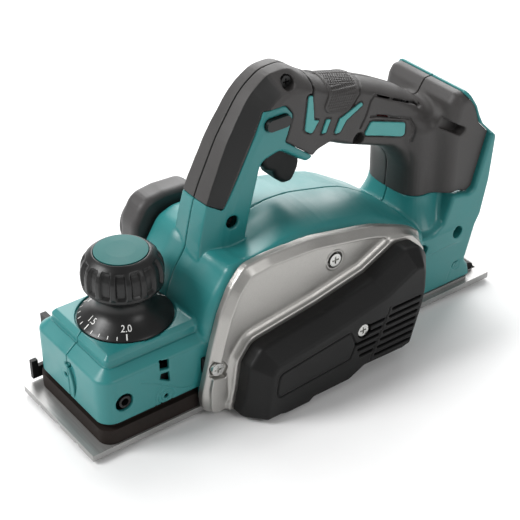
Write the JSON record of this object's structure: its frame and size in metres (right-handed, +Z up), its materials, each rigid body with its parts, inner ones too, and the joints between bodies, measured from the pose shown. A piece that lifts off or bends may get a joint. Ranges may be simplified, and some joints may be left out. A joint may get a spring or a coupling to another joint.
{
  "type": "electric hand planer",
  "caption": "Cordless electric hand planer with a depth knob on a movable front shoe, a belt-driven cutter drum, a D-handle with trigger and an open battery bay.",
  "frame": {"origin": "centre of the sole's rectangle, on the sole plane at zero planing depth", "axes": "+X is the planing direction, +Y is the belt side, which is the user's left, +Z is up"},
  "size_m": [0.314, 0.14, 0.1915],
  "materials": {
    "teal_shell": "fine spark-eroded texture",
    "teal_trim": "satin",
    "soft_grip": "soft-touch, finely textured",
    "black_plastic": "satin moulded",
    "cast_aluminium": "die cast, brushed",
    "machined_sole": "milled",
    "dark_casting": "satin",
    "steel": "ground",
    "blade_steel": "polished edge",
    "black_screw": "black oxide",
    "belt_rubber": "ribbed",
    "copper_winding": "enamelled wire",
    "brass": "turned",
    "circuit_board": "solder mask",
    "wire_jacket": "smooth"
  },
  "bodies": {
    "body": {"housing_left": "teal_shell", "housing_right": "teal_shell", "grip_left": "soft_grip", "grip_right": "soft_grip", "grip_pads": "soft_grip", "grip_accents": "teal_trim", "badge_plate": "teal_trim", "housing_screws": "steel", "front_frame": "dark_casting", "depth_spring": "steel", "rear_base": "machined_sole", "base_screws": "black_screw", "side_plate": "cast_aluminium", "side_plate_screws": "black_screw", "right_plate": "cast_aluminium", "right_plate_screws": "black_screw", "drum_bearings": "steel", "drive_belt": "belt_rubber", "belt_cover": "black_plastic", "belt_cover_screw": "steel", "motor_stator": "copper_winding", "motor_bearings": "steel", "motor_housing": "dark_casting", "chip_guide": "black_plastic", "chip_duct": "black_plastic", "controller_board": "circuit_board", "switch_body": "black_plastic", "trigger_pin": "steel", "terminal_block": "black_plastic", "terminal_blades": "brass", "wires": "wire_jacket", "kickstand_pin": "steel", "kickstand_spring": "steel", "fence_insert": "brass"},
    "shoe": {"front_shoe": "machined_sole", "front_skirt": "black_plastic", "shoe_guide_pins": "steel"},
    "knob": {"depth_knob": "black_plastic", "knob_cap": "teal_trim", "knob_screw": "steel", "depth_spindle": "steel"},
    "drum": {"cutter_drum": "dark_casting", "drum_shaft": "steel", "knives": "blade_steel", "knife_clamps": "steel", "knife_bolts": "black_screw", "drum_pulley": "steel"},
    "motor": {"motor_shaft": "steel", "motor_rotor": "steel", "motor_fan": "black_plastic", "motor_pulley": "steel"},
    "trigger_lever": {"trigger": "black_plastic"},
    "lock_off": {"lock_off_button": "black_plastic"},
    "parking_foot": {"kickstand": "black_plastic"},
    "rebate_stop": {"depth_stop": "black_plastic"},
    "rebate_stop_knob": {"depth_stop_knob": "black_plastic"}
  },
  "joints": [
    {"name": "depth_knob_turn", "type": "hinge", "parent": "body", "child": "knob", "pos_m": [0.1054, 0, 0.059], "axis": [0, 0, -1], "range_deg": [0, 240.1]},
    {"name": "shoe_slide", "type": "slide", "parent": "body", "child": "shoe", "axis": [0, 0, 1], "range_m": [0, 0.002], "deforming": ["depth_spring"]},
    {"name": "drum_spin", "type": "hinge", "parent": "body", "child": "drum", "pos_m": [0.037, 0, 0.0278], "axis": [0, 1, 0], "continuous": true},
    {"name": "motor_spin", "type": "hinge", "parent": "body", "child": "motor", "pos_m": [-0.043, 0, 0.038], "axis": [0, 1, 0], "continuous": true},
    {"name": "trigger_pull", "type": "hinge", "parent": "body", "child": "trigger_lever", "pos_m": [0.008, 0, 0.145], "axis": [0, 1, 0], "range_deg": [0, 12], "stiffness_Nm_per_rad": 0.5},
    {"name": "lock_off_push", "type": "slide", "parent": "body", "child": "lock_off", "axis": [0, 1, 0], "range_m": [-0.0025, 0.0025], "stiffness_N_per_m": 200},
    {"name": "parking_foot_swing", "type": "hinge", "parent": "body", "child": "parking_foot", "pos_m": [-0.124, 0.026, 0.009], "axis": [0, -1, 0], "range_deg": [0, 50]},
    {"name": "rebate_stop_slide", "type": "slide", "parent": "body", "child": "rebate_stop", "axis": [0, 0, 1], "range_m": [0, 0.012]},
    {"name": "rebate_stop_knob_turn", "type": "hinge", "parent": "body", "child": "rebate_stop_knob", "pos_m": [0.1315, -0.046, 0.03], "axis": [0, 1, 0], "range_deg": [0, 180]}
  ],
  "couplings": [
    {"joint": "depth_knob_turn", "follows": "shoe_slide", "rad_per_m": 2094.4},
    {"joint": "motor_spin", "follows": "drum_spin", "ratio": 0.8}
  ]
}
